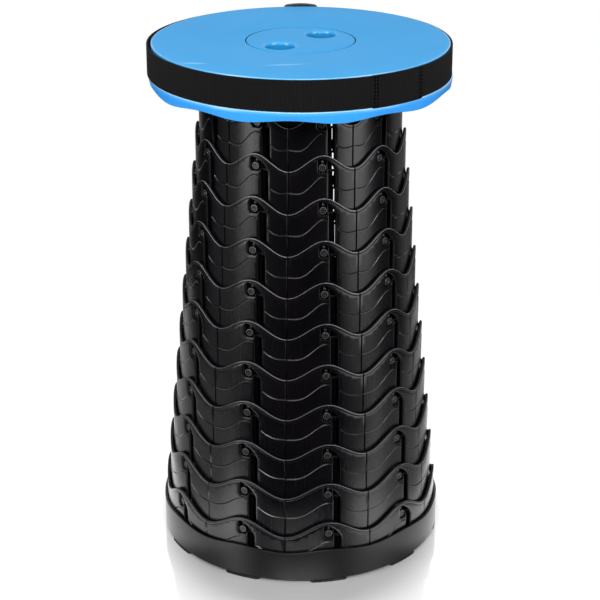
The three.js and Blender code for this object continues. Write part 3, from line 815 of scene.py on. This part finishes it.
for k in range(1, nest["rings"] + 1):
    wallRing(k)
print("wall rings ready")


# Base tray: wavy-rimmed wall, floor and the ribs inside

tray = {"under": 2.7, "top": 5.1, "outer": 124.8, "inner": 122.4, "rim": 30.2, "wave": 2.7, "sides": 240,
        "ribHeight": 7.0, "ribWidth": 2.0, "ribInner": 18.0, "ribOuter": 79.5, "ribEdge": 0.4,
        "ribSink": 0.4, "rimBand": 1.2, "rimInner": 121, "rimRound": 0.3}


def trayRim(angle):
    return tray["rim"] + waveAt(angle, tray["wave"])


def baseTray():
    def section(angle):
        return roundedSection([
            (0, tray["under"], 0), (tray["outer"], tray["under"], 1.1), (tray["outer"], trayRim(angle), 0.8),
            (tray["inner"], trayRim(angle), 0.5), (tray["inner"], tray["top"], 0), (0, tray["top"], 0)], 5)
    body = turnedBody("baseTray", tray["sides"], section)
    editMesh(body, weldBy(1e-6))
    # Painted shade: marks the band along the top of the rim, which the material darkens
    setAttribute(body, "edge", [tray["rimInner"] < math.hypot(x, y) < tray["outer"] - tray["rimRound"]
                                and z > trayRim(math.atan2(x, -y)) - tray["rimBand"]
                                for x, y, z in vertexPlaces(body)])
    rib = boxPiece("rib", tray["ribWidth"] / 2, (-tray["ribOuter"], -tray["ribInner"]),
                   (tray["top"] - tray["ribSink"], tray["top"] + tray["ribHeight"]), tray["ribEdge"])
    ribs = copyPiece("trayRibs", rib, "base")
    finishWith(body, "base", "base", "base_black", "base_tray")
    finishWith(ribs, None, "base", "base_black")


baseTray()

pads = {"height": 2.4, "width": 33.0, "outer": 124.7, "depth": 13.6, "steps": 24,
        "ridgeEvery": 4, "ridge": 0.25, "endWidth": 0.82, "endHeight": 0.9, "taper": 1.6}


def footPads():
    # The ends are narrower and lower, and shallow ridges cross the outer half
    half = pads["width"] / 2 / pads["outer"]
    inner, outer, high, steps = pads["outer"] - pads["depth"], pads["outer"], pads["height"], pads["steps"]
    middle = (inner + outer) / 2
    profile = roundedSection([(inner, 0, 0.7), (outer, 0, 0.9), (outer, high, 0.3), (inner, high, 0.3)], 3)
    sections = []
    for n in range(steps + 1):
        fromEnd = min(n, steps - n)
        angle = -half + 2 * half * n / steps
        width = pads["endWidth"] + (1 - pads["endWidth"]) * min(1.0, fromEnd / pads["taper"])
        height = 1 if fromEnd else pads["endHeight"]
        ridge = 0.0 if n % pads["ridgeEvery"] else pads["ridge"]
        section = [(middle + (r - middle) * width - (ridge if r > middle else 0), z) for r, z in profile]
        sections.append([(*placeAt(r, angle), high + (z - high) * height) for r, z in section])
    pad = newMesh("pad", *skin(sections, loop=False, capped=True))
    editMesh(pad, faceOutwards)
    piece = copyPiece("footPads", pad, "pad")
    finishWith(piece, None, "base", "pad_rubber", *[f"foot_pad_{n + 1}" for n in range(nest["waves"])])


footPads()
print("base ready")


# Seat shell: plate, strap groove, ledge, wavy skirt, and the spigot, ribs and gussets below

def bellOf(value, centres, spread):
    # 1 at any of the centres, less away from it
    return max(math.exp(-((value - at) / spread) ** 2) for at in centres)


def seatShell():
    s = seat

    def section(angle):
        foot = s["skirtMiddle"] - waveAt(angle, s["skirtWave"], s["skirtShift"])
        return roundedSection([
            (s["skirtInner"], foot, 0.3), (s["skirtOuter"], foot, 0.7),
            (s["ledgeRadius"] + s["ledgeBulge"], s["ledge"] - s["ledgeDrop"], 2.2),
            (s["ledgeRadius"], s["ledge"], 0.7), (s["radius"], s["ledge"], 0.25),
            (s["radius"], s["top"], s["edge"]), (s["radius"] - s["edgeBand"], s["top"], 0),
            (s["bore"], s["top"], 0.3), (s["bore"], s["flangeTop"], 0),
            (s["flangeInner"], s["flangeTop"], 0.3), (s["flangeInner"], s["flangeUnder"], 0.3),
            (s["collar"], s["flangeUnder"], 0.5), (s["collar"], s["under"], 0.6),
            (s["wallInner"], s["under"], 0.8), (s["wallInner"], s["shoulder"], 0.3),
            (s["skirtInner"], s["shoulder"], 0)], 5)
    body = turnedBody("seatShell", s["sides"], section, sharpAt=40)
    # Painted highlight along the top edge, strongest at the two litEdges angles, and along the ledge; painted
    # shade on the bore's wall in the gap round the cap
    edges, paintedShades = [], []
    for x, y, z in vertexPlaces(body):
        r = math.hypot(x, y)
        lit = bellOf(math.degrees(math.atan2(x, -y)), s["litEdges"], s["litSpread"])
        top = max(0, 1 - math.hypot(r - s["radius"], z - s["top"]) / s["edgeShine"]) * (0.5 + 0.5 * lit)
        ledge = max(0, 1 - math.hypot(r - s["ledgeRadius"], z - s["ledge"]) / s["ledgeShine"])
        edges.append(max(top, ledge))
        paintedShades.append(r < s["bore"] + 0.05 and z < s["top"] - 0.25)
    setAttribute(body, "edge", edges)
    setAttribute(body, "dark", paintedShades)
    finishWith(body, "seat", "seat", "seat_blue", "seat_shell")

    root, small = s["under"] + s["rootLap"], s["smallEdge"]
    inner, outer = s["spigotInner"], s["spigotOuter"]
    tube = roundedSection([(inner, s["spigotFoot"], small), (outer, s["spigotFoot"], small),
                           (outer, s["under"] + 1, 0), (inner, s["under"] + 1, 0)], 3)
    spigot = turnedBody("seatSpigot", s["spigotSides"], lambda angle: tube)
    rib = boxPiece("rib", s["ribWidth"] / 2, (-inner - s["ribLap"], -s["collar"] + s["ribLap"]),
                   (s["under"] - s["ribHeight"], root), small)
    ribs = copyPiece("seatRibs", rib, "seat")
    reach, wall, half = s["gussetReach"], s["wallInner"] + s["gussetLap"], s["gussetWidth"] / 2
    outline = [(reach, root), (reach + 0.4, s["under"] - 0.4), (wall, s["gussetLevel"]), (wall, root)]
    sections = [[(x, -r, z) for r, z in outline] for x in (-half, half)]
    wedge = newMesh("gusset", *skin(sections, loop=False, capped=True))
    gussets = copyPiece("seatGussets", wedge, "seat")
    boss = lugPiece(outer, s["spigotFoot"], lug["reach"], False)
    bosses = copyPiece("seatLugs", boss, "seat", sharpAt=50)
    setAttribute(bosses, "edge", 0)
    for piece in (spigot, ribs, gussets, bosses):
        finishWith(piece, "seat", "seat", "seat_blue")


seatShell()

cap = {"radius": 45.75, "thickness": 2.9, "edge": 0.6, "insets": (0.2, 0.6), "sides": 120, "holeSides": 48,
       "holeRadius": 12.0, "lip": 2.6, "shade": 0.3, "glints": (-24, 24), "glintSpread": 9,
       "holeDepth": 9.0, "holeWall": 1.8, "holeLap": 1.0, "holeCircle": 26.4,
       "holeAngle": math.radians(-40.6), "holes": 2, "screws": 4, "gridReach": 42, "gridStep": 4.0}


def centreCap():
    top, under = seat["top"], seat["top"] - cap["thickness"]
    radius, lip, outside = cap["holeRadius"], cap["lip"], cap["holeRadius"] + cap["holeWall"]
    wall = outside + cap["holeLap"]
    holes = [placeAt(cap["holeCircle"], cap["holeAngle"] + n * 2 * math.pi / cap["holes"])
             for n in range(cap["holes"])]
    loops = [arc(0, 0, cap["radius"], 0, 360, cap["sides"])[:-1]]
    loops += [arc(x, y, wall, 0, 360, cap["holeSides"])[:-1] for x, y in holes]
    insets = [arc(0, 0, cap["radius"] - d, 0, 360, cap["sides"])[:-1] for d in cap["insets"]]
    reach = cap["gridReach"]
    across = np.arange(-reach, reach + 1, cap["gridStep"])
    scatter = [(x, y) for x in across for y in across if math.hypot(x, y) < reach + 1]
    upper = fillPanel(loops, [line + line[:1] for line in insets], scatter)
    lower = fillPanel(loops, [], scatter)
    rimDistance = cap["radius"] - np.hypot(*upper["points"].T)
    upperPlace = np.column_stack([upper["points"], top - roundLoss(rimDistance, cap["edge"])])
    lowerPlace = np.column_stack([lower["points"], np.full(len(lower["points"]), under)])
    parts = [panelSolid("centreCap", upper, lower, upperPlace, lowerPlace)]

    # Each hole is a turned wall with a soft lip, which closes on the disc
    deep = top - cap["holeDepth"]
    profile = [(wall, top)]
    profile += [(radius + lip * (1 - math.sin(a)), top - lip * (1 - math.cos(a)))
                for a in np.radians(range(0, 91, 9))]
    profile += [(radius, deep + 0.4), (radius + 0.3, deep), (outside - 0.3, deep),
                (outside, deep + 0.4), (outside, under), (wall, under)]
    turns = [2 * math.pi * n / cap["holeSides"] for n in range(cap["holeSides"])]
    for x, y in holes:
        sections = [[(x + r * math.cos(a), y + r * math.sin(a), z) for r, z in profile] for a in turns]
        parts.append(newMesh("holeWall", *skin(sections, closed=False)))
    piece = joinObjects("centreCap", parts)

    def onHole(vert):
        px, py = vert.co.x / mm, vert.co.y / mm
        return any(abs(math.hypot(px - x, py - y) - wall) < 0.01 for x, y in holes)

    def openHoles(work):
        # The disc's own upright faces round the holes give way to the turned walls
        upright = [f for f in work.faces if abs(f.normal.z) < 0.2 and all(onHole(v) for v in f.verts)]
        for face in upright:
            work.faces.remove(face)

    editMesh(piece, openHoles, weldBy(2e-6), faceOutwards)
    smoothMesh(piece.data, 40)
    # Painted highlight, faint round each hole's lip, with two glints on its far side; painted shade in the
    # gap round the cap and deeper in the holes
    edges, paintedShades = [], []
    for x, y, z in vertexPlaces(piece):
        hx, hy = min(holes, key=lambda hole: math.dist(hole, (x, y)))
        near, drop = abs(math.hypot(x - hx, y - hy) - radius - lip / 2), top - z
        lit = bellOf(math.degrees(math.atan2(x - hx, y - hy)), cap["glints"], cap["glintSpread"])
        shine = 0.1 + 0.6 * lit * bellOf(drop, [lip / 2], 0.3 * lip)
        edges.append(shine * min(1, max(0, 1.8 - near / lip * 2)) if 0.02 < drop < 2 * lip else 0)
        inGap = math.hypot(x, y) > cap["radius"] - 0.05 and z < top - 0.25
        paintedShades.append(1.0 if inGap else cap["shade"] * min(1, max(0, (drop - 0.4) / lip)))
    setAttribute(piece, "edge", edges)
    setAttribute(piece, "dark", paintedShades)
    finishWith(piece, "seat", "seat", "seat_blue", "centre_cap")


centreCap()
for n in range(cap["screws"]):
    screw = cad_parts[f"cap_screw_{n + 1}"]
    screw.data.materials.clear()
    screw.data.materials.append(finishes["steel"])
print("seat ready")


# Carry strap: ribbed webbing round the seat, lapped and sewn in front, threaded through a buckle at the back

strap = {
    "inner": 126.0, "low": 423.675, "width": 25.6, "thickness": 1.5, "softEdge": 0.5, "crown": 0.12,
    "slack": 2.0, "slackAngle": math.radians(-95), "slackSpread": math.radians(60),
    "lapStart": math.radians(26.2), "lapEnd": math.radians(49.4), "lapThickness": 1.25, "lapSides": 90,
    "lapTaper": math.radians(1.2), "lapDrop": 0.5, "lapSink": 0.05,
    "threadOut": 4.8, "threadInner": math.radians(1.75), "threadOuter": math.radians(4.3),
    "sides": 900, "stitchPitch": 2.8, "stitchLength": 1.9, "stitchRows": (1.6, 4.2), "stitchInset": 1.2,
    "stitchLean": 0.18, "overhang": 0.7,
}


def turnFrom(angle, other):
    return math.atan2(math.sin(angle - other), math.cos(angle - other))


def strapRadius(angle):
    away = turnFrom(angle, strap["slackAngle"])
    slack = 0.0
    if abs(away) < strap["slackSpread"]:
        slack = strap["slack"] * math.cos(away / strap["slackSpread"] * math.pi / 2) ** 2
    fromBack = abs(turnFrom(angle, math.pi))
    t = min(1, max(0, (strap["threadOuter"] - fromBack) / (strap["threadOuter"] - strap["threadInner"])))
    return strap["inner"] + slack + strap["threadOut"] * t * t * (3 - 2 * t)


def webbingPiece(name, angles, radiusAt, thickness, closed, overhang=0.0):
    # A flat band with soft edges, its UV in metres along and across
    width, low = strap["width"] + 2 * overhang, strap["low"] - overhang
    corners = ((0, 0), (thickness, 0), (thickness, width), (0, width))
    profile = roundedSection([(*corner, strap["softEdge"]) for corner in corners], 3)
    profile = [p for i, p in enumerate(profile) if i == 0 or math.dist(p, profile[i - 1]) > 1e-6]
    sections, uvs = [], []
    for angle in angles:
        base, section = radiusAt(angle), []
        for r, z in profile:
            crown = strap["crown"] * math.sin(math.pi * z / width) if r > thickness / 2 else 0
            section.append((*placeAt(base + r + crown, angle), low + z))
            uvs.append((angle * strap["inner"] * mm, z * mm))
        sections.append(section)
    band = newMesh(name, *skin(sections, loop=closed, capped=not closed), sharpAt=60)
    layer = band.data.uv_layers.new(name="weave")
    around = 2 * math.pi * strap["inner"] * mm
    for face in band.data.polygons:
        spots = [uvs[v] for v in face.vertices]
        far = max(s[0] for s in spots)
        for corner, (u, v) in zip(face.loop_indices, spots):
            layer.data[corner].uv = (u + around if closed and far - u > around / 2 else u, v)
    return band


def stitchRow(angle, radius):
    # Points for one upright row of stitches, which lean to either side in turn
    run = strap["width"] - 2 * strap["stitchInset"]
    count = int(run / strap["stitchPitch"])
    places = []
    for n in range(count + 1):
        z = strap["low"] + strap["stitchInset"] + n * run / count
        lean = strap["stitchLean"] if n % 2 else -strap["stitchLean"]
        places.append((*placeAt(radius, angle + lean * 0.006), z, (0.0, lean, angle)))
    return places


def lapRadius(angle):
    # The lap lies on the webbing and comes closer at both of its ends
    fromEnd = min(angle - strap["lapStart"], strap["lapEnd"] - angle)
    drop = strap["lapDrop"] * max(0, 1 - fromEnd / strap["lapTaper"]) ** 2
    return strapRadius(angle) + strap["thickness"] - strap["lapSink"] - drop


def carryStrap():
    angles = [n * 2 * math.pi / strap["sides"] for n in range(strap["sides"])]
    band = webbingPiece("carryStrap", angles, strapRadius, strap["thickness"], True)
    angles = list(np.linspace(strap["lapStart"], strap["lapEnd"], strap["lapSides"]))
    lap = webbingPiece("strapLap", angles, lapRadius, strap["lapThickness"], False, strap["overhang"])
    whole = joinObjects("carryStrap", [band, lap])
    finishWith(whole, "strap", "seat", "strap_webbing", "carry_strap")

    thread = softBump("stitch", (0, 0, 0), (0.65, 0.5, strap["stitchLength"] / 2))
    radius = strap["inner"] + strap["thickness"] + strap["lapThickness"] + 0.02
    places = []
    for offset in strap["stitchRows"]:
        places += stitchRow(strap["lapStart"] + offset / radius, radius)
        places += stitchRow(strap["lapEnd"] - offset / radius, radius)
    stitches = copyPiece("strapStitches", thread, "shade", places, sharpAt=180)
    finishWith(stitches, None, "seat", "strap_webbing")


carryStrap()

slider = {"inner": 128.3, "thickness": 2.2, "top": 451.9, "height": 30.9, "width": 31.0, "bar": 3.0,
          "middleBar": 5.0, "slotLow": 422.975, "slotHigh": 447.6, "slotCorner": 0.8, "corner": 3.0,
          "edge": 0.5, "arch": 1.7, "archSteps": 14}


def roundedRectangle(left, right, low, high, corner, steps=1):
    # The top edge is cut into steps, so that it can be arched
    top = [(x, high) for x in np.linspace(right - corner, left + corner, steps + 1)[1:-1]]
    return (arc(left + corner, low + corner, corner, 180, 270, 5)
            + arc(right - corner, low + corner, corner, 270, 360, 5)
            + arc(right - corner, high - corner, corner, 0, 90, 5) + top
            + arc(left + corner, high - corner, corner, 90, 180, 5))


def strapSlider():
    s, half = slider, slider["width"] / 2
    near, far = s["middleBar"] / 2, half - s["bar"]
    outline = roundedRectangle(-half, half, s["top"] - s["height"], s["top"], s["corner"], s["archSteps"])
    slots = [roundedRectangle(a, b, s["slotLow"], s["slotHigh"], s["slotCorner"])
             for a, b in ((-far, -near), (near, far))]
    rounds = []
    for size in (0.3 * s["edge"], s["edge"]):
        rounds += [offsetLoop(outline, -size)] + [offsetLoop(slot, size) for slot in slots]
    panel = fillPanel([outline] + slots, rounds, [])

    def place(radius, sign):
        x, z = panel["points"].T
        depth = radius - sign * roundLoss(panel["distance"], s["edge"])
        arch = s["arch"] * (x / half) ** 2 * np.clip((z - s["slotHigh"] + 1) / 2, 0, 1)
        return np.column_stack([-x, depth, z - arch])

    outer, inner = place(s["inner"] + s["thickness"], 1), place(s["inner"], -1)
    piece = panelSolid("strapSlider", panel, panel, outer, inner)
    finishWith(piece, "buckle", "seat", "slider_black", "strap_slider")


strapSlider()
print("strap ready")


# Stage, light and camera

def rayKinds(place):
    # The rays of the camera, and those of reflections and of what shows through
    path = place.tree.nodes.new("ShaderNodeLightPath")
    names = ("Is Camera Ray", "Is Glossy Ray", "Is Transmission Ray")
    seen, glossy, through = (Sock(place.tree, path.outputs[name]) for name in names)
    return seen, (glossy + through).clamp()


def paleTable(place):
    # Bright to the eye. A band on either side of the object also glows in reflections, a painted reflection
    # on the sides of the base and lower rings; otherwise it throws no more light on the object than its
    # colour does
    seen, mirrored = rayKinds(place)
    away = stretched(place, table["squash"]).length().between(table["near"], table["far"])
    aside = place.parts()[0].maths("ABSOLUTE")
    inStart, inEnd, outStart, outEnd = table["side"]
    band = aside.between(inStart, inEnd) * aside.between(outEnd, outStart)
    glow = table["glow"] + away * (table["farGlow"] - table["glow"])
    return {"Emission Color": seen * glow + mirrored * band * table["sideGlow"]}


# A white table whose front edge is near the object, with the dim studio beyond it
table = {"half": 0.45, "front": -0.2, "back": 0.5, "glow": 0.04, "farGlow": 0.5, "near": 0.12, "far": 0.175,
         "squash": (1.2, 0.8, 1), "reflectance": 0.72, "sideGlow": 1.4, "side": (0.1, 0.13, 0.17, 0.2)}
corners = [(side * table["half"], y, 0) for side, y in
           ((-1, table["front"]), (1, table["front"]), (1, table["back"]), (-1, table["back"]))]
tableTop = bpy.data.meshes.new("floor")
tableTop.from_pydata(corners, [], [(0, 1, 2, 3)])
tableTop.materials.append(newMaterial("paleFloor", paleTable, Base_Color=(*[table["reflectance"]] * 3, 1),
                                      Roughness=0.05, Metallic=0.35, Emission_Strength=1.0))
linked("floor", tableTop)

lights = {
    "left": {"at": (-1.4, -0.96, 0.62), "size": (0.6, 1.8), "power": 17},
    "farLeft": {"at": (-1.75, -0.05, 0.1), "size": (0.7, 1.6), "power": 0.6},
    "right": {"at": (1.47, -0.85, 0.5), "size": (0.95, 1.8), "power": 16},
    "farRight": {"at": (1.3, 1.2, 0.1), "size": (0.7, 1.6), "power": 0.8},
    "top": {"at": (0.0, -0.1, 1.9), "size": (0.8, 0.8), "power": 8},
    "front": {"at": (0.0, -1.6, 1.35), "size": (1.2, 0.5), "power": 30},
    "back": {"at": (0.0, 1.7, 1.3), "size": (2.4, 1.0), "power": 1},
}
aim = Vector((0, 0, 0.24))
for name, light in lights.items():
    lamp = bpy.data.lights.new(name, "AREA")
    lamp.shape = "RECTANGLE"
    lamp.size, lamp.size_y = light["size"]
    lamp.energy = light["power"]
    holder = linked(name, lamp)
    holder.location = light["at"]
    holder.rotation_euler = (aim - holder.location).to_track_quat("-Z", "Y").to_euler()

# The camera sees a white backdrop all round. Reflections see it behind the object, and a dim room in front.
room = {"dim": 0.05, "dark": 0.015, "backdrop": 1.0, "upright": (0.93, 0.37), "edge": 0.6, "full": 0.95}
world = bpy.data.worlds.new("studio")
bpy.context.scene.world = world
world.use_nodes = True
direction = Sock(world.node_tree).node("ShaderNodeTexCoord", out="Generated")
seen, mirrored = rayKinds(direction)
_, back, up = direction.parts()
behind = (back * room["upright"][0] + up * room["upright"][1]).between(room["edge"], room["full"])
strength = (seen + mirrored * (behind * (room["backdrop"] - room["dark"]) + room["dark"])
            + (1 - seen - mirrored).clamp() * room["dim"])
background = world.node_tree.nodes["Background"]
background.inputs["Color"].default_value = (1, 1, 1, 1)
strength.link(background.inputs["Strength"])

view = {"at": (0, -1.51294, 0.82237), "tilt": 0.3819, "focal": 1838.71, "side": 600, "centre": 300.62}
camera = bpy.data.cameras.new("camera")
camera.sensor_width = 36
camera.lens = view["focal"] / view["side"] * camera.sensor_width
camera.shift_x = (view["side"] / 2 - view["centre"]) / view["side"]
cameraObject = linked("camera", camera)
cameraObject.location = view["at"]
cameraObject.rotation_euler = (math.pi / 2 - view["tilt"], 0, 0)
bpy.context.scene.camera = cameraObject
bpy.context.scene.view_settings.view_transform = "Standard"

print("stage ready")
